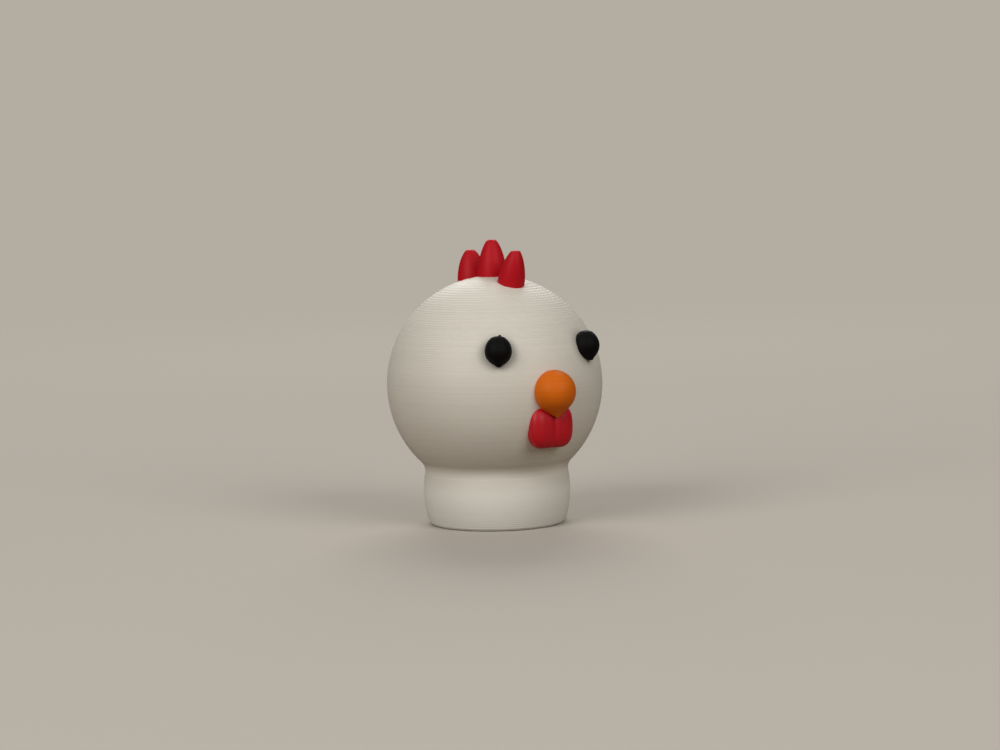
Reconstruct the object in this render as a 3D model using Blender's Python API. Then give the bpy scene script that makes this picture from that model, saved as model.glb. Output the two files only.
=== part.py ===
"""A pencil topper: a hen's head that slides over the plain end of a round pencil.

It is printed in plastic. The white ball and the collar below it are one piece with a blind bore
for the pencil. The comb, the eyes, the beak and the wattles are printed in their own colours,
and each sits in a pocket of the ball that follows its shape.

Lengths are in metres and angles in radians. The origin is the middle of the bore's blind end,
where the pencil stops. +Z points up through the comb, the beak points along -Y, and the hen's
left side is +X.
"""
import math

import bmesh
import bpy
from mathutils import Matrix, Vector

MM = 0.001

# The pencil and the bore that takes it
PENCIL_DIAMETER = 7.5 * MM
PENCIL_CLEARANCE = 0.1 * MM
MOUTH_CHAMFER = 0.4 * MM

# The ball, and the plastic left between its top and the bore's end
HEAD_RADIUS = 8.0 * MM
CROWN_THICKNESS = 5.4 * MM

# The collar reaches from its rim to where the ball is as wide as it is.
# Its belly is one arc: the wall at the widest place, that place's height, and the arc's radius.
COLLAR_HEIGHT = 4.55 * MM
COLLAR_WALL = 1.66 * MM
BELLY_HEIGHT = 2.5 * MM
BELLY_CURVE = 7.3 * MM
NECK_FILLET = 0.5 * MM
RIM_FILLET = 0.3 * MM

# Room round each coloured piece in its pocket
SEAT_CLEARANCE = 0.2 * MM

# The comb's three lobes stand in a row from beak to nape, each on a root inside the ball.
# They end in flat tops, and the higher the fullness the rounder their sides, where 2 is an egg.
MIDDLE_LOBE_RADIUS = 1.05 * MM
MIDDLE_LOBE_HEIGHT = 2.66 * MM
FRONT_LOBE_RADIUS = 0.95 * MM
FRONT_LOBE_HEIGHT = 2.55 * MM
FRONT_LOBE_LEAN = math.radians(17.0)
FRONT_LOBE_GAP = 0.63 * MM
REAR_LOBE_RADIUS = 1.12 * MM
REAR_LOBE_HEIGHT = 2.5 * MM
REAR_LOBE_LEAN = math.radians(6.0)
REAR_LOBE_GAP = 0.67 * MM
LOBE_ROOT = 1.0 * MM
LOBE_TIP_RADIUS = 0.3 * MM
LOBE_FULLNESS = 1.85

# The eyes are drops, each an egg drawn down to a blunt point
EYE_RADIUS = 1.0 * MM
EYE_CROWN = 1.12 * MM
EYE_HEIGHT = 2.98 * MM
EYE_SPREAD = math.radians(29.5)
EYE_PROUD = 0.25 * MM
EYE_LEAN = math.radians(18.0)
EYE_TAPER = math.radians(50.0)
EYE_TIP_RADIUS = 0.1 * MM

# The beak is a larger drop with a round crown, all but level with the ball's middle
BEAK_RADIUS = 1.53 * MM
BEAK_PROUD = 0.13 * MM
BEAK_DROP = 0.07 * MM
BEAK_LEAN = math.radians(11.0)
BEAK_TAPER = math.radians(54.0)
BEAK_TIP_RADIUS = 0.12 * MM

# The wattles hang side by side, parted by a flat gap. Their tops are tucked in behind the beak,
# which they are cut away for. A wattle's middle is a share of its half width off the gap's middle.
# Each is a pad with a squarish plan. Its ends are rounder on its outer side than next to its twin.
WATTLE_HALF_WIDTH = 1.01 * MM
WATTLE_HALF_DEPTH = 0.86 * MM
WATTLE_HALF_HEIGHT = 1.58 * MM
WATTLE_PLAN_FULLNESS = 3.0
WATTLE_OUTER_FULLNESS = 2.8
WATTLE_INNER_FULLNESS = 6.0
WATTLE_TUCK = 0.55 * MM
WATTLE_SUNK = 0.1 * MM
WATTLE_SPREAD = 0.74
WATTLE_GAP = 0.2 * MM

# Facets of the round shapes
HEAD_SEGMENTS = 64
BEAK_SEGMENTS = 32
SMALL_SEGMENTS = 28
HEAD_STEP = math.radians(6.0)
SMALL_STEP = math.radians(12.0)
SHARP_ANGLE = math.radians(35.0)
WELD = 0.0001 * MM

# Linear red, green and blue of each filament, and its roughness
WHITE = (0.72, 0.68, 0.61), 0.5
RED = (0.40, 0.012, 0.018), 0.45
BLACK = (0.006, 0.006, 0.006), 0.5
ORANGE = (0.72, 0.16, 0.012), 0.4

BORE_RADIUS = (PENCIL_DIAMETER + PENCIL_CLEARANCE) / 2
COLLAR_RADIUS = BORE_RADIUS + COLLAR_WALL
HEAD_CENTRE = Vector((0, 0, CROWN_THICKNESS - HEAD_RADIUS))
RIM_Z = HEAD_CENTRE.z - math.sqrt(HEAD_RADIUS ** 2 - COLLAR_RADIUS ** 2) - COLLAR_HEIGHT
TOP, SIDE, BOTTOM = math.radians(90), 0.0, math.radians(-90)


def clear_scene():
    for item in list(bpy.data.objects):
        bpy.data.objects.remove(item, do_unlink=True)


def filament(name, colour, roughness):
    material = bpy.data.materials.new(name)
    material.use_nodes = True
    shader = material.node_tree.nodes["Principled BSDF"]
    shader.inputs["Base Color"].default_value = (*colour, 1.0)
    shader.inputs["Roughness"].default_value = roughness
    shader.inputs["Metallic"].default_value = 0.0
    material.diffuse_color = (*colour, 1.0)
    return material


def arc(centre, radius, start, end, step, height=None):
    """Points of an arc in the section plane, from one angle to another, as (radius, z) pairs.

    With a height the arc is part of an ellipse that is so high above its centre.
    """
    height = height or radius
    count = max(1, math.ceil(abs(end - start) / step))
    angles = [start + (end - start) * index / count for index in range(count + 1)]
    return [
        (centre[0] + radius * math.cos(angle), centre[1] + height * math.sin(angle))
        for angle in angles
    ]


def angle_of(centre, point):
    """The direction from a centre to a point in the section plane, between -90 and 270 degrees."""
    angle = math.atan2(point[1] - centre[1], point[0] - centre[0])
    return angle + math.tau if angle < BOTTOM else angle


def outer_meeting(centre_a, radius_a, centre_b, radius_b):
    """The meeting point, furthest from the axis, of two circles in the section plane."""
    across = Vector(centre_b) - Vector(centre_a)
    distance = across.length
    along = (distance ** 2 + radius_a ** 2 - radius_b ** 2) / (2 * distance)
    off = math.sqrt(radius_a ** 2 - along ** 2)
    foot = Vector(centre_a) + across * (along / distance)
    side = Vector((-across.y, across.x)) * (off / distance)
    return max(foot + side, foot - side, key=lambda point: point.x)


def finished(name, body):
    """A smooth object made of a bmesh body, which is used up."""
    mesh = bpy.data.meshes.new(name)
    body.to_mesh(mesh)
    body.free()
    mesh.shade_smooth()
    mesh.set_sharp_from_angle(angle=SHARP_ANGLE)
    item = bpy.data.objects.new(name, mesh)
    bpy.context.collection.objects.link(item)
    return item


def turned(name, profile, segments):
    """A closed body of revolution about Z, spun from a profile that starts and ends on the axis."""
    body = bmesh.new()
    points = [body.verts.new((radius, 0, z)) for radius, z in profile]
    edges = [body.edges.new(pair) for pair in zip(points, points[1:])]
    bmesh.ops.spin(
        body, geom=points + edges, cent=(0, 0, 0), axis=(0, 0, 1), dvec=(0, 0, 0),
        angle=math.tau, steps=segments, use_merge=True, use_duplicate=False,
    )
    bmesh.ops.remove_doubles(body, verts=body.verts, dist=WELD)
    bmesh.ops.recalc_face_normals(body, faces=body.faces)
    return finished(name, body)


def narrowing(level, fullness):
    """Half width of a rounded form at a height, both as shares of the form's own half sizes."""
    return max(0.0, 1.0 - abs(level) ** fullness) ** (1.0 / fullness)


def fuller(share, fullness):
    """A sine or cosine moved outwards, so that a circle drawn with it turns squarish."""
    return math.copysign(abs(share) ** (2.0 / fullness), share)


def pad(name, half_width, half_depth, half_height, side):
    """A closed pad about the origin, whose ends are rounder towards its outer side on X."""
    body = bmesh.new()
    bmesh.ops.create_uvsphere(
        body, u_segments=SMALL_SEGMENTS, v_segments=round(math.pi / SMALL_STEP), radius=1.0
    )
    for vert in body.verts:
        level = fuller(vert.co.z, WATTLE_OUTER_FULLNESS)
        outer = narrowing(level, WATTLE_OUTER_FULLNESS)
        inner = narrowing(level, WATTLE_INNER_FULLNESS)
        turn = math.atan2(vert.co.y, vert.co.x)
        across = fuller(math.cos(turn), WATTLE_PLAN_FULLNESS)
        along = fuller(math.sin(turn), WATTLE_PLAN_FULLNESS)
        vert.co.x = half_width * (side * (outer - inner) + across * (outer + inner)) / 2
        vert.co.y = half_depth * along * outer
        vert.co.z = half_height * level
    return finished(name, body)


def head_profile():
    """Outside of ball, neck, belly and rim, then the mouth, the bore and its blind end."""
    ball = (0.0, HEAD_CENTRE.z)
    belly = (COLLAR_RADIUS - BELLY_CURVE, RIM_Z + BELLY_HEIGHT)
    neck = outer_meeting(ball, HEAD_RADIUS + NECK_FILLET, belly, BELLY_CURVE + NECK_FILLET)
    rim_drop = belly[1] - RIM_Z - RIM_FILLET
    rim_reach = math.sqrt((BELLY_CURVE - RIM_FILLET) ** 2 - rim_drop ** 2)
    rim = (belly[0] + rim_reach, RIM_Z + RIM_FILLET)
    return [
        (0.0, ball[1] + HEAD_RADIUS),
        *arc(ball, HEAD_RADIUS, TOP, angle_of(ball, neck), HEAD_STEP)[1:],
        *arc(neck, NECK_FILLET, angle_of(neck, ball), angle_of(neck, belly), HEAD_STEP * 2)[1:],
        *arc(belly, BELLY_CURVE, angle_of(belly, neck), angle_of(belly, rim), HEAD_STEP)[1:],
        *arc(rim, RIM_FILLET, angle_of(belly, rim), BOTTOM, HEAD_STEP * 4)[1:],
        (BORE_RADIUS + MOUTH_CHAMFER, RIM_Z),
        (BORE_RADIUS, RIM_Z + MOUTH_CHAMFER),
        (BORE_RADIUS, 0.0),
        (0.0, 0.0),
    ]


def lobe_profile(radius, height, root, tip):
    """A dome with a flat top, on the ball's surface, over a round root that goes down into it."""
    start = math.acos((tip / radius) ** (LOBE_FULLNESS / 2))
    peak = height / fuller(math.sin(start), LOBE_FULLNESS)
    dome = [
        (radius * fuller(reach, LOBE_FULLNESS), peak * fuller(rise, LOBE_FULLNESS))
        for reach, rise in arc((0.0, 0.0), 1.0, start, SIDE, SMALL_STEP)
    ]
    return [(0.0, height), *dome, (radius, -root), (0.0, -root)]


def drop_profile(radius, crown, taper, tip_radius):
    """An egg's upper half on a ball's lower part, which runs, tangent, into a cone's blunt point."""
    tip = (0.0, -(radius - tip_radius) / math.sin(taper))
    egg = arc((0.0, 0.0), radius, TOP, SIDE, SMALL_STEP, crown)
    ball = arc((0.0, 0.0), radius, SIDE, -taper, SMALL_STEP)
    point = arc(tip, tip_radius, -taper, BOTTOM, SMALL_STEP * 2)
    return [(0.0, crown), *egg[1:], *ball[1:], *point[:-1], (0.0, tip[1] - tip_radius)]


def place(item, location, lean, turn=0.0):
    """Tip a piece's top forwards by its lean, turn it about Z, and put it at its place."""
    tipped = Matrix.Rotation(turn, 4, "Z") @ Matrix.Rotation(lean, 4, "X")
    item.matrix_world = Matrix.Translation(location) @ tipped


def on_ball(across, height, proud=0.0):
    """The point on the ball's front with this offset to the side and this height."""
    reach = HEAD_RADIUS + proud
    forward = math.sqrt(reach ** 2 - across ** 2 - height ** 2)
    return HEAD_CENTRE + Vector((across, -forward, height))


def comb_lobe(name, radius, height, forward, lean, room):
    """A lobe on the ball's top, so far forward of its middle."""
    tip = LOBE_TIP_RADIUS + room
    profile = lobe_profile(radius + room, height + room, LOBE_ROOT + room, tip)
    item = turned(name, profile, SMALL_SEGMENTS)
    up = math.sqrt(HEAD_RADIUS ** 2 - forward ** 2)
    place(item, HEAD_CENTRE + Vector((0, -forward, up)), lean)
    return item


def front_lobe(name, room=0.0):
    forward = MIDDLE_LOBE_RADIUS + FRONT_LOBE_GAP + FRONT_LOBE_RADIUS
    return comb_lobe(name, FRONT_LOBE_RADIUS, FRONT_LOBE_HEIGHT, forward, FRONT_LOBE_LEAN, room)


def middle_lobe(name, room=0.0):
    return comb_lobe(name, MIDDLE_LOBE_RADIUS, MIDDLE_LOBE_HEIGHT, 0.0, 0.0, room)


def rear_lobe(name, room=0.0):
    back = MIDDLE_LOBE_RADIUS + REAR_LOBE_GAP + REAR_LOBE_RADIUS
    return comb_lobe(name, REAR_LOBE_RADIUS, REAR_LOBE_HEIGHT, -back, -REAR_LOBE_LEAN, room)


def eye(name, side, room):
    """An eye on the hen's left (side +1) or right (side -1), its point leaning off the ball."""
    profile = drop_profile(EYE_RADIUS + room, EYE_CROWN + room, EYE_TAPER, EYE_TIP_RADIUS + room)
    item = turned(name, profile, SMALL_SEGMENTS)
    reach = math.sqrt((HEAD_RADIUS + EYE_PROUD) ** 2 - EYE_HEIGHT ** 2)
    across = side * reach * math.sin(EYE_SPREAD)
    place(item, on_ball(across, EYE_HEIGHT, EYE_PROUD), -EYE_LEAN, side * EYE_SPREAD)
    return item


def left_eye(name, room=0.0):
    return eye(name, 1, room)


def right_eye(name, room=0.0):
    return eye(name, -1, room)


def beak(name, room=0.0):
    radius = BEAK_RADIUS + room
    profile = drop_profile(radius, radius, BEAK_TAPER, BEAK_TIP_RADIUS + room)
    item = turned(name, profile, BEAK_SEGMENTS)
    place(item, on_ball(0.0, -BEAK_DROP, BEAK_PROUD), -BEAK_LEAN)
    return item


def wattle(name, side, room):
    half_sizes = (WATTLE_HALF_WIDTH + room, WATTLE_HALF_DEPTH + room, WATTLE_HALF_HEIGHT + room)
    item = pad(name, *half_sizes, side)
    drop = BEAK_DROP + BEAK_RADIUS - WATTLE_TUCK + WATTLE_HALF_HEIGHT
    item.location = on_ball(side * WATTLE_SPREAD * WATTLE_HALF_WIDTH, -drop, -WATTLE_SUNK)
    return item


def left_wattle(name, room=0.0):
    return wattle(name, 1, room)


def right_wattle(name, room=0.0):
    return wattle(name, -1, room)


def kept_as_cutter(item):
    item.hide_render = True
    item.display_type = "WIRE"
    return item


def pocket_cutter(shape, name, cutters):
    """The shape of one coloured piece with room all round, kept among the other cutters."""
    cutter = kept_as_cutter(shape(f"{name}_pocket", SEAT_CLEARANCE))
    bpy.context.collection.objects.unlink(cutter)
    cutters.objects.link(cutter)
    return cutter


def gap_cutter(name, side):
    """A block that reaches from the hen's other side up to one wattle's wall of the gap."""
    body = bmesh.new()
    bmesh.ops.create_cube(body, size=HEAD_RADIUS * 2)
    mesh = bpy.data.meshes.new(name)
    body.to_mesh(mesh)
    body.free()
    block = kept_as_cutter(bpy.data.objects.new(name, mesh))
    block.location = HEAD_CENTRE + Vector((side * (WATTLE_GAP / 2 - HEAD_RADIUS), -HEAD_RADIUS, 0))
    bpy.context.collection.objects.link(block)
    return block


def cut_away(item, cutter):
    """Cut one shape, or in one go every shape of a collection, out of a piece."""
    cut = item.modifiers.new(cutter.name, "BOOLEAN")
    cut.operation = "DIFFERENCE"
    cut.solver = "EXACT"
    if isinstance(cutter, bpy.types.Collection):
        cut.operand_type = "COLLECTION"
        cut.collection = cutter
    else:
        cut.object = cutter


def main():
    clear_scene()
    head = turned("head", head_profile(), HEAD_SEGMENTS)
    head.data.materials.append(filament("head_white", *WHITE))
    cutters = bpy.data.collections.new("pocket_cutters")
    bpy.context.scene.collection.children.link(cutters)
    coloured = {
        "comb_front_lobe": (front_lobe, RED),
        "comb_middle_lobe": (middle_lobe, RED),
        "comb_rear_lobe": (rear_lobe, RED),
        "left_eye": (left_eye, BLACK),
        "right_eye": (right_eye, BLACK),
        "beak": (beak, ORANGE),
        "left_wattle": (left_wattle, RED),
        "right_wattle": (right_wattle, RED),
    }
    pieces, pockets = {}, {}
    for name, (shape, look) in coloured.items():
        pieces[name] = shape(name)
        pieces[name].data.materials.append(filament(f"{name}_plastic", *look))
        pockets[name] = pocket_cutter(shape, name, cutters)
    cut_away(head, cutters)
    for name, side in (("left_wattle", 1), ("right_wattle", -1)):
        cut_away(pieces[name], pockets["beak"])
        cut_away(pieces[name], gap_cutter(f"{name}_gap", side))


main()
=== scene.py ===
"""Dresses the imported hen's-head pencil topper as the plastic print that it is.

Each piece is laid up in thin flat layers, as a printer lays it, on one grid of layers that the
whole topper shares, and stands where its plain solid stands. The coloured pieces grow out of the
white one with no gap, because all of them are printed together.

Lengths are in metres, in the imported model's own frame: the bore's blind end is the origin, +Z
points up through the comb, the beak points along -Y and the hen's left side is +X.
"""
import math
import random
from typing import NamedTuple

import bpy
import numpy as np
from bpy.props import FloatProperty, FloatVectorProperty, IntProperty, PointerProperty
from mathutils import Matrix, Vector


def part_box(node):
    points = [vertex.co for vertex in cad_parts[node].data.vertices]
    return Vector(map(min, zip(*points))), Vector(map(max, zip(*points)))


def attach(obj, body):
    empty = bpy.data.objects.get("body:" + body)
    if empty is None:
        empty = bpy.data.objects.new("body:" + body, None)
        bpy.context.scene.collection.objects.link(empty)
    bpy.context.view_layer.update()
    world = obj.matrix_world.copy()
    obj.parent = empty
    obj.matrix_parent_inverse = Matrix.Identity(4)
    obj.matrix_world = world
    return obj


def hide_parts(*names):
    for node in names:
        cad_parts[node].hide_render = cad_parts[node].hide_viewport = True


bl_info = {
    "name": "Hen Pencil Topper",
    "version": (1, 0, 0),
    "blender": (4, 5, 0),
    "location": "3D View > Sidebar > Topper",
    "description": "Lays up a hen's-head pencil topper in printed plastic",
    "category": "Object",
}

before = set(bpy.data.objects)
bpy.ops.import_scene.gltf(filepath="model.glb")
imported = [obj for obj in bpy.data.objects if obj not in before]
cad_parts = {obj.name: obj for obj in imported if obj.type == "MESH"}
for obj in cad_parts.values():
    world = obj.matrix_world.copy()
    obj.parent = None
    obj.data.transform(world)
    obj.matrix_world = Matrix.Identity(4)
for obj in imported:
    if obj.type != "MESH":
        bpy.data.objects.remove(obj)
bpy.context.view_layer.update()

MM = 0.001

# Heights of the topper's lowest and highest faces
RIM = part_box("head")[0].z
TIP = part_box("comb_middle_lobe")[1].z

# Directions in the section plane, and the turn from one point of an arc to the next
TOP, SIDE, BOTTOM = math.radians(90), 0.0, math.radians(-90)
ARC_STEP = math.radians(1)

# Heights in a layer, from its lower face at -0.5 to its upper at 0.5, of the rings that round it
STRAND_RINGS = (-0.44, -0.16, 0.16, 0.44)
# Heights in a layer, inside the bore, of the wall's upper end and of the groove at its foot
BORE_WALL, BORE_GROOVE = 0.3, -0.5
# Turns round the rounded edge of an end strand, from its side to its flat end
EDGE_TURNS = (math.radians(30), math.radians(60), math.radians(90))

# Points closer than this are one, and a bend past this angle shows as an edge
WELD = 0.0001 * MM
SHARP_ANGLE = math.radians(40)

# A lean smaller than this counts as none
NO_LEAN = math.radians(0.01)
# Samples of a leaning shape's outline, enough for its level cuts to be true to two microns
OUTLINE_SAMPLES = 20000
# Levels tried, from a leaning shape's highest point down, to find its flat top
LEVEL_SAMPLES = 2000
# How far the outermost cuts stay inside a leaning shape's lowest and highest points
CUT_MARGIN = 10 * WELD

# Rings of the nub on the right eye, each a share of the nub's height and a half width
NUB_RINGS = ((0.1, 0.11 * MM), (0.7, 0.08 * MM), (1.0, 0.04 * MM))
# How far the nub stands to the side of the eye's top
NUB_OFFSET = 0.13 * MM

# Seeds of the random numbers by which each piece's layers wander
SEEDS = {
    "head": 1,
    "comb_front_lobe": 10, "comb_middle_lobe": 11, "comb_rear_lobe": 12,
    "left_eye": 20, "right_eye": 21,
    "beak": 30,
    "left_wattle": 40, "right_wattle": 41,
}

# Tones of the darkest and the lightest layer, as shares of the plastic's own
DARK_LAYER, LIGHT_LAYER = 0.96, 1.03
# Sizes of the plastic's bands and of its drawn streaks, along the strands and up the piece
BAND_LENGTH, BAND_HEIGHT = 20 * MM, 1 * MM
STREAK_LENGTH, STREAK_HEIGHT = 10 / 9 * MM, 1 / 18 * MM
# How far the smoothest and the dullest streaks take the plastic's roughness down and up
STREAK_SMOOTH, STREAK_DULL = 0.06, 0.08


class Ring(NamedTuple):
    """A level ring of a stacked piece, by its middle's height and place and its half widths."""

    height: float
    x: float
    y: float
    across: float
    along: float


class Mark(NamedTuple):
    """A soft change of tone, at its full strength to its radius and gone at its reach past that."""

    centre: Vector
    radius: float
    reach: float
    tint: tuple
    strength: float


def linear(code):
    """The linear colour of an sRGB hex value."""
    channels = [int(code[place:place + 2], 16) / 255 for place in (1, 3, 5)]
    return tuple(
        value / 12.92 if value <= 0.04045 else ((value + 0.055) / 1.055) ** 2.4
        for value in channels
    )


def length(name, description, size):
    """A length property whose default is given in millimetres."""
    return FloatProperty(
        name=name, description=description, default=size * MM, unit="LENGTH", precision=5
    )


def angle(name, description, degrees):
    """An angle property whose default is given in degrees."""
    return FloatProperty(
        name=name, description=description, default=math.radians(degrees), subtype="ANGLE"
    )


def colour(name, description, code):
    """A colour property whose default is an sRGB hex value."""
    return FloatVectorProperty(
        name=name, description=description, default=linear(code), subtype="COLOR",
        size=3, min=0.0, max=1.0,
    )


class TopperPrint(bpy.types.PropertyGroup):
    """How the plastic is laid."""

    layer: length("Layer height", "Thickness of one printed layer", 0.16)
    bulge: length("Strand bulge", "How far a layer's edge swells out between its grooves", 0.0035)
    wander: length("Layer wander", "Most that a layer is set in from its true place", 0.0012)
    terrace: FloatProperty(
        name="Terrace", description="Share of the step between two layers that isn't smoothed over",
        default=0.2, min=0.0, max=1.0, subtype="FACTOR",
    )
    narrowest: length("Narrowest strand", "Half width below which nothing is laid", 0.06)


class TopperColours(bpy.types.PropertyGroup):
    """Colours of the filaments and of the stage."""

    white: colour("White", "Head", "#DCD5C7")
    # Painted light: a lighter, less yellow white for the collar, standing in for more light reaching
    # it than reaches the ball
    collar: colour("Collar", "The collar's solid wall, a little lighter than the ball", "#EBE7DC")
    red: colour("Red", "Comb and wattles", "#BC0D1B")
    black: colour("Black", "Eyes", "#0A0908")
    orange: colour("Orange", "Beak", "#DA6A12")
    backdrop: colour("Backdrop", "Background behind the floor", "#B4ADA2")
    floor: colour("Floor", "The floor as it is seen", "#BFB7AC")
    bounce: colour("Bounce", "The tone that the floor throws back on the topper", "#85796B")


class TopperHead(bpy.types.PropertyGroup):
    """Sizes of the ball, the collar and the bore."""

    ball_radius: length("Ball radius", "Radius of the head", 8.0)
    ball_middle: length("Ball middle", "Height of the ball's middle over the bore's end", -2.6)
    collar_radius: length("Collar radius", "Radius of the collar at its belly", 5.46)
    belly_height: length("Belly height", "Height of the belly over the rim", 2.5)
    belly_curve: length("Belly curve", "Radius of the belly's bulge from top to bottom", 7.3)
    neck_fillet: length("Neck fillet", "Radius of the crease between ball and collar", 1.0)
    rim_fillet: length("Rim fillet", "Radius of the rim's outer edge", 0.3)
    bore_radius: length("Bore radius", "Radius of the bore up the middle", 3.8)
    mouth_chamfer: length("Mouth chamfer", "Width of the chamfer at the bore's mouth", 0.4)
    facets: IntProperty(name="Facets", description="Facets round the head", default=128, min=32)


class TopperComb(bpy.types.PropertyGroup):
    """Sizes of the comb's three lobes."""

    middle_radius: length("Middle radius", "Radius of the middle lobe", 1.08)
    middle_height: length("Middle height", "Height of the middle lobe over the ball", 2.66)
    front_radius: length("Front radius", "Radius of the front lobe", 1.0)
    front_height: length("Front height", "Height of the front lobe over the ball", 2.46)
    front_place: length("Front place", "How far the front lobe stands before the middle one", 2.6)
    front_lean: angle("Front lean", "How far the front lobe leans forwards", 18.5)
    rear_radius: length("Rear radius", "Radius of the rear lobe", 1.12)
    rear_height: length("Rear height", "Height of the rear lobe over the ball", 2.38)
    rear_place: length("Rear place", "How far the rear lobe stands behind the middle one", 2.84)
    rear_lean: angle("Rear lean", "How far the rear lobe leans back", 6.0)
    flat_top: length("Flat top", "Half width of the flat top that ends each lobe", 0.3)
    fullness: FloatProperty(
        name="Fullness", description="Power of the middle and rear outlines, where 2 is an egg",
        default=1.78, min=1.2, max=3.0,
    )
    front_fullness: FloatProperty(
        name="Front fullness", description="Power of the front lobe's outline", default=1.68,
        min=1.2, max=3.0,
    )
    root: length("Root", "Depth of each lobe's root in the ball", 1.0)


class TopperEyes(bpy.types.PropertyGroup):
    """Sizes of the two eyes."""

    radius: length("Radius", "Radius of an eye's round part", 0.98)
    crown: length("Crown", "Height of the eye's egg-shaped upper half", 1.142)
    flat_top: length("Flat top", "Half width of the flat top that ends each eye", 0.25)
    depth: FloatProperty(
        name="Depth", description="Depth of an eye as a share of its width", default=0.92,
        min=0.5, max=1.0, subtype="FACTOR",
    )
    height: length("Height", "Height of the eyes over the ball's middle", 2.95)
    spread: angle("Spread", "Turn from the beak to an eye", 29.4)
    proud: length("Proud", "How far an eye's middle stands off the ball", 0.285)
    lean: angle("Lean", "How far the point leans off the ball", 18.0)
    taper: angle("Taper", "Angle of the point's sides to the eye's long axis", 53.5)
    tip_radius: length("Tip radius", "Roundness of the point", 0.1)
    nub: length("Nub", "Height of the nub that the nozzle leaves on the right eye", 0.1)


class TopperBeak(bpy.types.PropertyGroup):
    """Sizes of the beak."""

    radius: length("Radius", "Radius of the beak's round part", 1.56)
    proud: length("Proud", "How far the beak's middle stands off the ball", 0.1)
    drop: length("Drop", "Depth of the beak's middle below the ball's middle", 0.07)
    lean: angle("Lean", "How far the point leans off the ball", 11.0)
    taper: angle("Taper", "Angle of the point's sides to the beak's long axis", 54.0)
    tip_radius: length("Tip radius", "Roundness of the point", 0.12)


class TopperWattles(bpy.types.PropertyGroup):
    """Sizes of the two wattles."""

    half_width: length("Half width", "Half width of a whole wattle", 1.09)
    half_depth: length("Half depth", "Half depth of a wattle", 0.8)
    half_height: length("Half height", "Half height of a wattle", 1.58)
    corner: FloatProperty(
        name="Corner", description="Share of the half width that rounds a corner of the plan",
        default=0.76, min=0.1, max=1.0, subtype="FACTOR",
    )
    outer_fullness: FloatProperty(
        name="Outer fullness", default=2.6, min=1.5, max=8.0,
        description="Power of the outline on the outer side, where 2 is an egg",
    )
    inner_fullness: FloatProperty(
        name="Inner fullness", default=6.0, min=1.5, max=8.0,
        description="Power of the outline on the side next to the twin",
    )
    end: FloatProperty(
        name="End", description="Share of the half height at which a wattle ends flat",
        default=0.985, min=0.5, max=0.999, subtype="FACTOR",
    )
    spacing: length("Spacing", "Distance of a wattle's middle from the plane between the two", 0.66)
    drop: length("Drop", "Depth of the wattles' middles below the ball's middle", 2.63)
    sunk: length("Sunk", "How far a wattle's middle lies inside the ball's surface", 0.1)


class TopperSettings(bpy.types.PropertyGroup):
    """All the settings of the topper."""

    laid: PointerProperty(type=TopperPrint)
    colours: PointerProperty(type=TopperColours)
    head: PointerProperty(type=TopperHead)
    comb: PointerProperty(type=TopperComb)
    eyes: PointerProperty(type=TopperEyes)
    beak: PointerProperty(type=TopperBeak)
    wattles: PointerProperty(type=TopperWattles)


def arc(centre, radius, start, end, height=None):
    """Points of an arc in the section plane as (radius, height) pairs; a height makes it oval."""
    height = height or radius
    count = max(1, math.ceil(abs(end - start) / ARC_STEP))
    turns = [start + (end - start) * step / count for step in range(count + 1)]
    return [
        (centre[0] + radius * math.cos(turn), centre[1] + height * math.sin(turn))
        for turn in turns
    ]


def narrowing(level, fullness):
    """Half width of a rounded form at a height, both as shares of the form's own half sizes."""
    return max(0.0, 1.0 - abs(level) ** fullness) ** (1.0 / fullness)


def drop_outline(radius, crown, taper, tip_radius):
    """Half an egg over a ball that runs down into a cone's round point, from bottom to top."""
    tip = (0.0, -(radius - tip_radius) / math.sin(taper))
    point = arc(tip, tip_radius, BOTTOM, -taper)
    ball = arc((0.0, 0.0), radius, -taper, SIDE)
    egg = arc((0.0, 0.0), radius, SIDE, TOP, crown)
    return point + ball + egg


def lobe_outline(radius, height, root, fullness, flat_top):
    """A round root and a dome on it, which is as narrow as its flat top at this height."""
    peak = height / narrowing(flat_top / radius, fullness)
    dome = [
        (radius * narrowing(rise, fullness), peak * rise)
        for _, rise in arc((0.0, 0.0), 1.0, SIDE, TOP)
    ]
    return [(radius, -root), *dome]


def outer_meeting(centre_a, radius_a, centre_b, radius_b):
    """The meeting point, furthest from the axis, of two circles in the section plane."""
    across = Vector(centre_b) - Vector(centre_a)
    distance = across.length
    along = (distance ** 2 + radius_a ** 2 - radius_b ** 2) / (2 * distance)
    off = math.sqrt(radius_a ** 2 - along ** 2)
    foot = Vector(centre_a) + across * (along / distance)
    side = Vector((-across.y, across.x)) * (off / distance)
    return max(foot + side, foot - side, key=lambda point: point.x)


def angle_of(centre, point):
    """The direction from a centre to a point in the section plane, between -90 and 270 degrees."""
    turn = math.atan2(point[1] - centre[1], point[0] - centre[0])
    return turn + math.tau if turn < BOTTOM else turn


def head_outline(sizes):
    """The head's outside from the rim's flat face up to the ball's top."""
    ball = (0.0, sizes.ball_middle)
    belly = (sizes.collar_radius - sizes.belly_curve, RIM + sizes.belly_height)
    fillet = sizes.neck_fillet
    neck = outer_meeting(ball, sizes.ball_radius + fillet, belly, sizes.belly_curve + fillet)
    drop = sizes.belly_height - sizes.rim_fillet
    reach = math.sqrt((sizes.belly_curve - sizes.rim_fillet) ** 2 - drop ** 2)
    rim = (belly[0] + reach, RIM + sizes.rim_fillet)
    return [
        *arc(rim, sizes.rim_fillet, BOTTOM, angle_of(belly, rim)),
        *arc(belly, sizes.belly_curve, angle_of(belly, rim), angle_of(belly, neck)),
        *arc(neck, fillet, angle_of(neck, belly), angle_of(neck, ball)),
        *arc(ball, sizes.ball_radius, angle_of(ball, neck), TOP),
    ]


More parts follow.
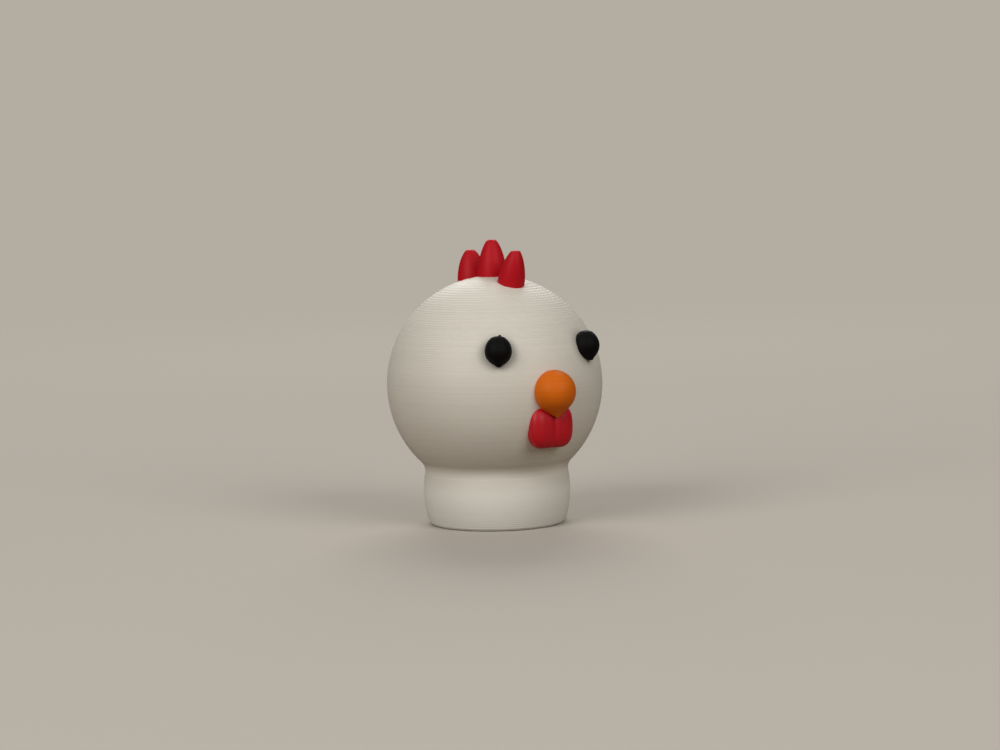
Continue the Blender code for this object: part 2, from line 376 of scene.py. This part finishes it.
def layer_height(laid):
    """The layer height nearest to the set one that divides the topper's height evenly."""
    tall = TIP - RIM
    return tall / round(tall / laid.layer)


def layer_middles(low, high, layer):
    """Heights of the middles of the layers between two heights, on the topper's own grid."""
    first = math.ceil((low - RIM) / layer - 0.5)
    last = math.floor((high - RIM) / layer - 0.5)
    return [RIM + (index + 0.5) * layer for index in range(first, last + 1)]


def strand_edges(laid, layer, dice):
    """One layer's rings, as heights from its middle with how far each is set in."""
    wander = dice.random() * laid.wander
    return [(place * layer, wander + laid.bulge * (2 * place) ** 2) for place in STRAND_RINGS]


def level_cut(shape, lean, height):
    """Middle and half widths, along the lean and across it, of a flat cut through a leaning shape.

    The shape is a pair, of its radii and of their places up an axis that leans towards +Y at the
    top. The height is over the axis's origin.
    """
    radii, places = shape
    if abs(lean) < NO_LEAN:
        half = float(np.interp(height, places, radii))
        return 0.0, half, half
    off = (places * math.cos(lean) - height) / math.sin(lean)
    cut = np.abs(off) <= radii
    reach = (places[cut] - height * math.cos(lean)) / math.sin(lean)
    across = math.sqrt(float((radii[cut] ** 2 - off[cut] ** 2).max()))
    low, high = float(reach.min()), float(reach.max())
    return (low + high) / 2, abs(high - low) / 2, across


def rounded_end(end, edge):
    """Levels that round an end strand's edge up to its flat end, with how far each is set in."""
    return [
        (end - edge * (1 - math.sin(turn)), edge * (1 - math.cos(turn))) for turn in EDGE_TURNS
    ]


def top_level(shape, lean, low, high, flat_top):
    """The highest level at which a leaning shape is still as wide as its flat top."""
    for level in np.linspace(high - CUT_MARGIN, low, LEVEL_SAMPLES):
        if min(level_cut(shape, lean, level)[1:]) >= flat_top:
            return float(level)
    raise ValueError("The shape is nowhere as wide as its flat top")


def leaning_rings(outline, lean, base, laid, flat_top, dice):
    """Rings of a leaning shape's layers, where base is the height of the shape's origin.

    The last strand ends where the shape is as narrow as its flat top, and has a round edge.
    """
    points = np.array(outline)
    places = np.linspace(points[0, 1], points[-1, 1], OUTLINE_SAMPLES)
    radii = np.interp(places, points[:, 1], points[:, 0])
    swing = radii * abs(math.sin(lean))
    low = float((places * math.cos(lean) - swing).min())
    high = float((places * math.cos(lean) + swing).max())
    shape = (radii, places)
    floor = low + CUT_MARGIN
    ceiling = top_level(shape, lean, low, high, flat_top)
    layer = layer_height(laid)
    edge = layer / 2
    rings = []
    for middle in layer_middles(base + low - edge, base + ceiling + edge, layer):
        step = np.array(level_cut(shape, lean, min(max(middle - base, floor), ceiling)))
        for rise, inset in strand_edges(laid, layer, dice):
            level = middle - base + rise
            if not floor <= level <= ceiling - edge:
                continue
            own = np.array(level_cut(shape, lean, level))
            y, along, across = own + (step - own) * laid.terrace
            if min(across, along) - inset >= laid.narrowest:
                rings.append(Ring(level, 0.0, y, across - inset, along - inset))
    for level, inset in rounded_end(ceiling, edge):
        y, along, across = level_cut(shape, lean, level)
        rings.append(Ring(level, 0.0, y, across - inset, along - inset))
    return rings


def clear_selection():
    """Deselect everything, because what is added next is worked on alone."""
    bpy.ops.object.select_all(action="DESELECT")


def stack_rings(rings, facets, corner=1.0):
    """Lay up a closed piece from the bottom, each ring extruded from the last and resized.

    The first ring is a square whose corners are rounded by this share of its half width.
    """
    first = rings[0]
    middle = (first.x, first.y, first.height)
    clear_selection()
    bpy.ops.mesh.primitive_plane_add(size=2 * first.across, location=middle)
    item = bpy.context.object
    bpy.ops.object.mode_set(mode="EDIT")
    bpy.ops.mesh.select_all(action="SELECT")
    bpy.ops.mesh.bevel(offset=corner * first.across, segments=facets // 4, affect="VERTICES")
    bpy.ops.mesh.select_all(action="SELECT")
    bpy.ops.mesh.delete(type="ONLY_FACE")
    bpy.ops.mesh.select_all(action="SELECT")
    bpy.ops.mesh.remove_doubles(threshold=WELD)
    bpy.ops.transform.resize(value=(1, first.along / first.across, 1), center_override=middle)
    for last, ring in zip(rings, rings[1:]):
        middle = (ring.x, ring.y, ring.height)
        step = (ring.x - last.x, ring.y - last.y, ring.height - last.height)
        bpy.ops.mesh.extrude_region_move(TRANSFORM_OT_translate={"value": step})
        ratio = (ring.across / last.across, ring.along / last.along, 1)
        bpy.ops.transform.resize(value=ratio, center_override=middle)
    # The stack is still open at both ends
    bpy.ops.mesh.select_all(action="DESELECT")
    bpy.ops.mesh.select_non_manifold()
    bpy.ops.mesh.fill_holes(sides=0)
    close_up()
    bpy.ops.object.transform_apply(location=True, rotation=True, scale=True)
    return item


def spin_profile(points, facets):
    """Draw a profile that starts and ends on Z, point by point, and spin it into a closed piece."""
    clear_selection()
    bpy.ops.mesh.primitive_plane_add(size=MM, location=(0, 0, 0))
    item = bpy.context.object
    bpy.ops.object.mode_set(mode="EDIT")
    bpy.ops.mesh.merge(type="CENTER")
    bpy.ops.transform.translate(value=(points[0][0], 0, points[0][1]))
    for last, point in zip(points, points[1:]):
        step = (point[0] - last[0], 0, point[1] - last[1])
        bpy.ops.mesh.extrude_region_move(TRANSFORM_OT_translate={"value": step})
    bpy.ops.mesh.select_all(action="SELECT")
    bpy.ops.mesh.spin(steps=facets, angle=math.tau, center=(0, 0, 0), axis=(0, 0, 1))
    close_up()
    return item


def close_up():
    """Weld the piece that is being edited, turn its faces outwards and leave edit mode."""
    bpy.ops.mesh.select_all(action="SELECT")
    bpy.ops.mesh.remove_doubles(threshold=WELD)
    bpy.ops.mesh.normals_make_consistent(inside=False)
    bpy.ops.object.mode_set(mode="OBJECT")


def finish_piece(item, node, material, place=(0, 0, 0), turn=0.0):
    """Put a piece in its place, shade and dress it, and let it stand for its CAD node."""
    item.name = item.data.name = f"printed_{node}"
    item.location = place
    item.rotation_euler.z = turn
    bpy.ops.object.transform_apply(location=True, rotation=True, scale=True)
    bpy.ops.object.shade_smooth_by_angle(angle=SHARP_ANGLE)
    item.data.materials.append(material)
    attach(item, "root")
    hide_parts(node)


def add(tree, kind, settings=None, inputs=None):
    """Add a shader node with its settings, and with values or links for its inputs."""
    made = tree.nodes.new(kind)
    for key, value in (settings or {}).items():
        setattr(made, key, value)
    for key, value in (inputs or {}).items():
        if isinstance(value, bpy.types.NodeSocket):
            tree.links.new(value, made.inputs[key])
        else:
            made.inputs[key].default_value = value
    return made


def socket(made, name, kind):
    """The output of this kind, of a node that has several outputs of one name."""
    return next(output for output in made.outputs if (output.name, output.type) == (name, kind))


def layered_tone(tree, spot, tint, laid):
    """The plastic's tone, a little darker or lighter in each layer and in slower bands."""
    # The flow changes a little from one layer to the next
    height = add(tree, "ShaderNodeSeparateXYZ", inputs={"Vector": spot}).outputs["Z"]
    count = add(
        tree, "ShaderNodeMath", {"operation": "DIVIDE"}, {0: height, 1: layer_height(laid)}
    ).outputs[0]
    number = add(tree, "ShaderNodeMath", {"operation": "FLOOR"}, {0: count}).outputs[0]
    layer_tone = add(
        tree, "ShaderNodeTexWhiteNoise", {"noise_dimensions": "1D"}, {"W": number}
    ).outputs["Value"]

    # The melt runs warmer or cooler over several layers
    scale = (1 / BAND_LENGTH, 1 / BAND_LENGTH, 1 / BAND_HEIGHT)
    banded = add(
        tree, "ShaderNodeMapping", inputs={"Vector": spot, "Scale": scale}
    ).outputs["Vector"]
    band_tone = add(
        tree, "ShaderNodeTexNoise", inputs={"Vector": banded, "Scale": 1.0, "Detail": 2.0}
    ).outputs["Fac"]

    tones = add(
        tree, "ShaderNodeMath", {"operation": "ADD"}, {0: layer_tone, 1: band_tone}
    ).outputs[0]
    level = add(
        tree, "ShaderNodeMapRange", inputs={"Value": tones, "From Max": 2.0}
    ).outputs["Result"]
    dark = tuple(value * DARK_LAYER for value in tint)
    light = tuple(min(1.0, value * LIGHT_LAYER) for value in tint)
    mixed = add(
        tree, "ShaderNodeMix", {"data_type": "RGBA"},
        {"Factor": level, "A": (*dark, 1.0), "B": (*light, 1.0)},
    )
    return socket(mixed, "Result", "RGBA")


def marked_tone(tree, spot, tone, mark):
    """The plastic's tone with a mark laid over it, which fades out at its edge."""
    distance = add(
        tree, "ShaderNodeVectorMath", {"operation": "DISTANCE"}, {0: spot, 1: tuple(mark.centre)}
    ).outputs["Value"]
    fade = add(
        tree, "ShaderNodeMapRange", {"interpolation_type": "SMOOTHSTEP"},
        {"Value": distance, "From Min": mark.radius, "From Max": mark.radius + mark.reach,
         "To Min": mark.strength, "To Max": 0.0},
    ).outputs["Result"]
    mixed = add(
        tree, "ShaderNodeMix", {"data_type": "RGBA"},
        {"Factor": fade, "A": tone, "B": (*mark.tint, 1.0)},
    )
    return socket(mixed, "Result", "RGBA")


def printed_plastic(name, tint, laid, roughness, shine, glow=0.0, marks=()):
    """Filament of polylactic acid, melted and laid in fine layers.

    The eye sees a satin plastic whose tone changes a little from layer to layer, with fine drawn
    streaks along every strand. Shine is how strongly it reflects, and glow how much of the light
    wanders inside it.
    """
    material = bpy.data.materials.new(name)
    material.use_nodes = True
    tree = material.node_tree
    shader = tree.nodes["Principled BSDF"]
    spot = add(tree, "ShaderNodeTexCoord").outputs["Object"]

    tone = layered_tone(tree, spot, tint, laid)
    for mark in marks:
        tone = marked_tone(tree, spot, tone, mark)
    tree.links.new(tone, shader.inputs["Base Color"])

    # The nozzle draws fine streaks along the strands, some smooth and some dull
    scale = (1 / STREAK_LENGTH, 1 / STREAK_LENGTH, 1 / STREAK_HEIGHT)
    drawn = add(
        tree, "ShaderNodeMapping", inputs={"Vector": spot, "Scale": scale}
    ).outputs["Vector"]
    streaks = add(
        tree, "ShaderNodeTexNoise", inputs={"Vector": drawn, "Scale": 1.0, "Detail": 3.0}
    ).outputs["Fac"]
    smooth, dull = roughness - STREAK_SMOOTH, roughness + STREAK_DULL
    gloss = add(
        tree, "ShaderNodeMapRange", inputs={"Value": streaks, "To Min": smooth, "To Max": dull}
    ).outputs["Result"]
    tree.links.new(gloss, shader.inputs["Roughness"])
    relief = add(
        tree, "ShaderNodeBump", inputs={"Height": streaks, "Strength": 0.25, "Distance": 0.01 * MM}
    ).outputs["Normal"]
    tree.links.new(relief, shader.inputs["Normal"])
    shader.inputs["IOR"].default_value = 1.46
    shader.inputs["Specular IOR Level"].default_value = shine

    # Light wanders up to 0.6 mm inside the plastic, red furthest
    shader.inputs["Subsurface Weight"].default_value = glow
    shader.inputs["Subsurface Radius"].default_value = (1.0, 0.85, 0.7)
    shader.inputs["Subsurface Scale"].default_value = 0.6 * MM
    material.diffuse_color = (*tint, 1.0)
    return material


def on_ball(head, across, height, proud=0.0):
    """The point on the ball's front with this offset to the side and this height."""
    reach = head.ball_radius + proud
    forward = math.sqrt(reach ** 2 - across ** 2 - height ** 2)
    return Vector((across, -forward, head.ball_middle + height))


def eye_place(topper, side):
    """The middle of the eye on the hen's left (side +1) or right (side -1)."""
    eyes, head = topper.eyes, topper.head
    reach = math.sqrt((head.ball_radius + eyes.proud) ** 2 - eyes.height ** 2)
    return on_ball(head, side * reach * math.sin(eyes.spread), eyes.height, eyes.proud)


class TOPPER_OT_head(bpy.types.Operator):
    """Lay up the white ball, the collar and the bore in them."""

    bl_idname = "topper.head"
    bl_label = "Head"

    def execute(self, context):
        topper = context.scene.topper
        sizes, laid, colours = topper.head, topper.laid, topper.colours
        item = spin_profile(self.bore(sizes, laid) + self.outside(sizes, laid), sizes.facets)
        # The white is tinted a little towards black round each eye, fading out 0.9 mm past the eye's
        # edge
        marks = [
            Mark(
                eye_place(topper, side), radius=0.9 * topper.eyes.radius, reach=0.9 * MM,
                tint=tuple(colours.black), strength=0.3,
            )
            for side in (1, -1)
        ]
        # Painted light: the collar is tinted lighter and less yellow than the ball's white, fading
        # out up by the neck, to stand in for more light reaching the collar than the lamps here give
        # it
        under_rim = Vector((0, 0, RIM - 3 * MM))
        marks.append(Mark(
            under_rim, radius=7.7 * MM, reach=0.9 * MM, tint=tuple(colours.collar), strength=0.8
        ))
        plastic = printed_plastic(
            "white_pla_printed", tuple(colours.white), laid,
            roughness=0.5, shine=0.4, glow=0.12, marks=marks,
        )
        finish_piece(item, "head", plastic)
        return {"FINISHED"}

    @staticmethod
    def bore(sizes, laid):
        """The section of the bore, from its blind end down to the chamfer at the rim."""
        layer = layer_height(laid)
        mouth = sizes.bore_radius + sizes.mouth_chamfer
        points = [(0.0, 0.0), (sizes.bore_radius, 0.0)]
        for middle in reversed(layer_middles(RIM, 0.0, layer)):
            wall = max(sizes.bore_radius, mouth - (middle - RIM))
            points.append((wall, middle + BORE_WALL * layer))
            points.append((wall + laid.bulge, middle + BORE_GROOVE * layer))
        points[-1] = (mouth, RIM)
        return points

    @staticmethod
    def outside(sizes, laid):
        """The section of the outside, from the rim up to the top of the ball."""
        layer = layer_height(laid)
        dice = random.Random(SEEDS["head"])
        radii, heights = np.array(head_outline(sizes)).T
        points = []
        for middle in layer_middles(RIM, heights[-1], layer):
            step = np.interp(middle, heights, radii)
            for rise, inset in strand_edges(laid, layer, dice):
                own = np.interp(middle + rise, heights, radii)
                points.append((float(own + (step - own) * laid.terrace) - inset, middle + rise))
        points.append((0.0, points[-1][1]))
        return points


class TOPPER_OT_comb(bpy.types.Operator):
    """Lay up the comb's three red lobes."""

    bl_idname = "topper.comb"
    bl_label = "Comb"

    def execute(self, context):
        topper = context.scene.topper
        sizes, laid, head = topper.comb, topper.laid, topper.head
        plastic = printed_plastic(
            "red_pla_printed_comb", tuple(topper.colours.red), laid, roughness=0.5, shine=0.2
        )
        # Radius, height, fullness, place before the middle lobe and lean forwards
        lobes = {
            "comb_front_lobe": (
                sizes.front_radius, sizes.front_height, sizes.front_fullness,
                sizes.front_place, sizes.front_lean,
            ),
            "comb_middle_lobe": (
                sizes.middle_radius, sizes.middle_height, sizes.fullness, 0.0, 0.0
            ),
            "comb_rear_lobe": (
                sizes.rear_radius, sizes.rear_height, sizes.fullness,
                -sizes.rear_place, -sizes.rear_lean,
            ),
        }
        for name, (radius, height, fullness, forward, lean) in lobes.items():
            up = math.sqrt(head.ball_radius ** 2 - forward ** 2)
            place = Vector((0, -forward, head.ball_middle + up))
            outline = lobe_outline(radius, height, sizes.root, fullness, sizes.flat_top)
            dice = random.Random(SEEDS[name])
            rings = leaning_rings(outline, -lean, place.z, laid, sizes.flat_top, dice)
            item = stack_rings(rings, facets=40)
            finish_piece(item, name, plastic, place)
        return {"FINISHED"}


class TOPPER_OT_eyes(bpy.types.Operator):
    """Lay up the two black eyes."""

    bl_idname = "topper.eyes"
    bl_label = "Eyes"

    def execute(self, context):
        topper = context.scene.topper
        sizes, laid = topper.eyes, topper.laid
        plastic = printed_plastic(
            "black_pla_printed", tuple(topper.colours.black), laid, roughness=0.6, shine=0.12
        )
        outline = drop_outline(sizes.radius, sizes.crown, sizes.taper, sizes.tip_radius)
        for name, side in (("left_eye", 1), ("right_eye", -1)):
            place = eye_place(topper, side)
            dice = random.Random(SEEDS[name])
            rings = leaning_rings(outline, sizes.lean, place.z, laid, sizes.flat_top, dice)
            rings = [ring._replace(along=ring.along * sizes.depth) for ring in rings]
            if name == "right_eye":
                rings += self.nub(rings[-1], sizes.nub)
            item = stack_rings(rings, facets=40)
            finish_piece(item, name, plastic, place, side * sizes.spread)
        return {"FINISHED"}

    @staticmethod
    def nub(top, tall):
        """Rings of the small nub where the nozzle lifted off, to one side of the eye's top."""
        return [
            Ring(top.height + share * tall, top.x + NUB_OFFSET, top.y, half_width, half_width)
            for share, half_width in NUB_RINGS
        ]


class TOPPER_OT_beak(bpy.types.Operator):
    """Lay up the orange beak."""

    bl_idname = "topper.beak"
    bl_label = "Beak"

    def execute(self, context):
        topper = context.scene.topper
        sizes, laid = topper.beak, topper.laid
        place = on_ball(topper.head, 0.0, -sizes.drop, sizes.proud)
        outline = drop_outline(sizes.radius, sizes.radius, sizes.taper, sizes.tip_radius)
        dice = random.Random(SEEDS["beak"])
        rings = leaning_rings(outline, sizes.lean, place.z, laid, laid.narrowest, dice)
        item = stack_rings(rings, facets=56)
        plastic = printed_plastic(
            "orange_pla_printed", tuple(topper.colours.orange), laid, roughness=0.42, shine=0.12
        )
        finish_piece(item, "beak", plastic, place)
        return {"FINISHED"}


class TOPPER_OT_wattles(bpy.types.Operator):
    """Lay up the two red wattles."""

    bl_idname = "topper.wattles"
    bl_label = "Wattles"

    def execute(self, context):
        topper = context.scene.topper
        sizes, laid, head = topper.wattles, topper.laid, topper.head
        plastic = printed_plastic(
            "red_pla_printed_wattles", tuple(topper.colours.red), laid, roughness=0.42, shine=0.4
        )
        for name, side in (("left_wattle", 1), ("right_wattle", -1)):
            place = on_ball(head, side * sizes.spacing, -sizes.drop, -sizes.sunk)
            dice = random.Random(SEEDS[name])
            rings = self.pad_rings(sizes, side, place.z, laid, dice)
            item = stack_rings(rings, facets=48, corner=sizes.corner)
            self.part_from_twin(item, -place.x, side)
            finish_piece(item, name, plastic, place)
        return {"FINISHED"}

    @staticmethod
    def pad_rings(sizes, side, base, laid, dice):
        """Rings of a wattle's layers, which move towards its twin where its outer side rounds in."""
        layer = layer_height(laid)
        edge = layer / 2
        end = sizes.end * sizes.half_height
        top = [(height, height, inset) for height, inset in rounded_end(end, edge)]
        bottom = [(-height, -height, inset) for height, _, inset in reversed(top)]
        strands = []
        for middle in layer_middles(base - end - edge, base + end + edge, layer):
            for rise, inset in strand_edges(laid, layer, dice):
                height = middle - base + rise
                if abs(height) <= end - edge:
                    strands.append((height, height - laid.terrace * rise, inset))
        rings = []
        for height, level, inset in bottom + strands + top:
            outer = narrowing(level / sizes.half_height, sizes.outer_fullness)
            inner = narrowing(level / sizes.half_height, sizes.inner_fullness)
            x = side * sizes.half_width * (outer - inner) / 2
            across = sizes.half_width * (outer + inner) / 2 - inset
            rings.append(Ring(height, x, 0.0, across, sizes.half_depth * outer - inset))
        return rings

    @staticmethod
    def part_from_twin(item, plane, side):
        """Cut off what lies past the plane between the two wattles, where their strands meet."""
        bpy.ops.object.mode_set(mode="EDIT")
        bpy.ops.mesh.select_all(action="SELECT")
        bpy.ops.mesh.bisect(
            plane_co=(plane, 0, 0), plane_no=(side, 0, 0), use_fill=True, clear_inner=True,
            threshold=WELD,
        )
        close_up()


class TOPPER_OT_stage(bpy.types.Operator):
    """Set the floor, the background, the lamps and the camera."""

    bl_idname = "topper.stage"
    bl_label = "Stage"

    def execute(self, context):
        topper = context.scene.topper
        self.lay_floor(topper)
        self.hang_lamps()
        self.fill_world(context.scene, tuple(topper.colours.backdrop))
        self.set_camera(context.scene, topper.head)
        context.scene.view_settings.view_transform = "Standard"
        return {"FINISHED"}

    def lay_floor(self, topper):
        """A wide round floor under the rim."""
        clear_selection()
        bpy.ops.mesh.primitive_circle_add(
            vertices=96, radius=600 * MM, fill_type="NGON", location=(0, 0, RIM)
        )
        floor = bpy.context.object
        floor.name = floor.data.name = "floor"
        bpy.ops.object.transform_apply(location=True, rotation=True, scale=True)
        floor.data.materials.append(self.matt_card(topper.colours))

    @staticmethod
    def matt_card(colours):
        """Uncoated card, which looks flat and dull, and fades out far from the topper."""
        fade_from, fade_to = 60 * MM, 260 * MM
        material = bpy.data.materials.new("matt_card_floor")
        material.use_nodes = True
        tree = material.node_tree
        shader = tree.nodes["Principled BSDF"]
        seen = add(tree, "ShaderNodeLightPath").outputs["Is Camera Ray"]
        tone = add(
            tree, "ShaderNodeMix", {"data_type": "RGBA"},
            {"Factor": seen, "A": (*colours.bounce, 1.0), "B": (*colours.floor, 1.0)},
        )
        tree.links.new(socket(tone, "Result", "RGBA"), shader.inputs["Base Color"])
        shader.inputs["Roughness"].default_value = 0.95
        shader.inputs["Specular IOR Level"].default_value = 0.0
        spot = add(tree, "ShaderNodeTexCoord").outputs["Object"]
        away = add(
            tree, "ShaderNodeVectorMath", {"operation": "DISTANCE"}, {0: spot, 1: (0.0, 0.0, RIM)}
        ).outputs["Value"]
        fade = add(
            tree, "ShaderNodeMapRange", {"interpolation_type": "SMOOTHSTEP"},
            {"Value": away, "From Min": fade_from, "From Max": fade_to},
        ).outputs["Result"]
        clear = add(tree, "ShaderNodeBsdfTransparent").outputs["BSDF"]
        mixed = add(
            tree, "ShaderNodeMixShader", inputs={0: fade, 1: shader.outputs["BSDF"], 2: clear}
        ).outputs["Shader"]
        tree.links.new(mixed, tree.nodes["Material Output"].inputs["Surface"])
        return material

    @staticmethod
    def hang_lamps():
        """Three soft lamps, each by its turn from straight before the beak, its rise and power."""
        size, distance = 300 * MM, 500 * MM
        lamps = {
            "key_softbox": (-71.8, 30, 1.27),
            "fill_softbox": (8.2, 30, 0.96),
            "back_softbox": (148.2, 35, 1.2),
        }
        for name, (turn, rise, power) in lamps.items():
            turn, rise = math.radians(turn), math.radians(rise)
            flat = math.cos(rise)
            way = Vector((math.sin(turn) * flat, -math.cos(turn) * flat, math.sin(rise)))
            clear_selection()
            bpy.ops.object.light_add(type="AREA", location=way * distance)
            lamp = bpy.context.object
            lamp.name = lamp.data.name = name
            lamp.data.size = size
            lamp.data.energy = power
            lamp.rotation_euler = way.to_track_quat("Z", "Y").to_euler()

    @staticmethod
    def fill_world(scene, backdrop):
        """A pale background for the camera, and for all else a dim light mostly from overhead."""
        overhead = 0.35
        world = bpy.data.worlds.new("studio")
        scene.world = world
        world.use_nodes = True
        tree = world.node_tree
        path = add(tree, "ShaderNodeLightPath")
        seen = add(
            tree, "ShaderNodeMath", {"operation": "MAXIMUM"},
            {0: path.outputs["Is Camera Ray"], 1: path.outputs["Is Transmission Ray"]},
        ).outputs[0]
        lit = tree.nodes["Background"]
        way = add(tree, "ShaderNodeTexCoord").outputs["Generated"]
        rise = add(tree, "ShaderNodeSeparateXYZ", inputs={"Vector": way}).outputs["Z"]
        strength = add(
            tree, "ShaderNodeMapRange", inputs={"Value": rise, "To Max": overhead}
        ).outputs["Result"]
        tree.links.new(strength, lit.inputs["Strength"])
        lit.inputs["Color"].default_value = (1.0, 1.0, 1.0, 1.0)
        pale = add(
            tree, "ShaderNodeBackground", inputs={"Color": (*backdrop, 1.0), "Strength": 1.0}
        ).outputs["Background"]
        mixed = add(
            tree, "ShaderNodeMixShader", inputs={0: seen, 1: lit.outputs["Background"], 2: pale}
        ).outputs["Shader"]
        tree.links.new(mixed, tree.nodes["World Output"].inputs["Surface"])

    @staticmethod
    def set_camera(scene, head):
        """A 90 mm lens, a little above the ball and to the hen's right."""
        azimuth, pitch, roll = math.radians(-31.8), math.radians(5.1), math.radians(1.28)
        distance, right_shift, up_shift = 185.87 * MM, 0.394 * MM, 0.595 * MM
        ahead = Vector((-math.sin(azimuth), math.cos(azimuth), 0))
        level = Vector((math.cos(azimuth), math.sin(azimuth), 0))
        view = ahead * math.cos(pitch) - Vector((0, 0, math.sin(pitch)))
        over = ahead * math.sin(pitch) + Vector((0, 0, math.cos(pitch)))
        right = level * math.cos(roll) - over * math.sin(roll)
        up = level * math.sin(roll) + over * math.cos(roll)
        clear_selection()
        bpy.ops.object.camera_add()
        camera = bpy.context.object
        camera.name = camera.data.name = "camera"
        camera.data.lens = 90
        camera.data.sensor_width = 36
        camera.data.clip_start = 10 * MM
        camera.data.clip_end = 20
        centre = Vector((0, 0, head.ball_middle))
        place = centre - view * distance + right * right_shift + up * up_shift
        turned = Matrix((right, up, -view)).transposed().to_4x4()
        camera.matrix_world = Matrix.Translation(place) @ turned
        scene.camera = camera


class TOPPER_PT_panel(bpy.types.Panel):
    """Lists the topper's pieces in the sidebar."""

    bl_idname = "TOPPER_PT_panel"
    bl_label = "Hen Pencil Topper"
    bl_space_type = "VIEW_3D"
    bl_region_type = "UI"
    bl_category = "Topper"

    def draw(self, context):
        topper = context.scene.topper
        for operator in OPERATORS:
            self.layout.operator(operator.bl_idname)
        for group in (
            topper.laid, topper.colours, topper.head, topper.comb,
            topper.eyes, topper.beak, topper.wattles,
        ):
            box = self.layout.box()
            for name in group.__annotations__:
                box.prop(group, name)


OPERATORS = (
    TOPPER_OT_head, TOPPER_OT_comb, TOPPER_OT_eyes,
    TOPPER_OT_beak, TOPPER_OT_wattles, TOPPER_OT_stage,
)
CLASSES = (
    TopperPrint, TopperColours, TopperHead, TopperComb, TopperEyes, TopperBeak, TopperWattles,
    TopperSettings, *OPERATORS, TOPPER_PT_panel,
)


def register():
    """Register the classes, and keep the topper's settings in the scene."""
    for item in CLASSES:
        bpy.utils.register_class(item)
    bpy.types.Scene.topper = PointerProperty(type=TopperSettings)


def unregister():
    """Take out what register put in, in the opposite order."""
    del bpy.types.Scene.topper
    for item in reversed(CLASSES):
        bpy.utils.unregister_class(item)


def main():
    """Make the pieces and the stage."""
    register()
    bpy.ops.topper.head()
    bpy.ops.topper.comb()
    bpy.ops.topper.eyes()
    bpy.ops.topper.beak()
    bpy.ops.topper.wattles()
    bpy.ops.topper.stage()


if __name__ == "__main__":
    main()
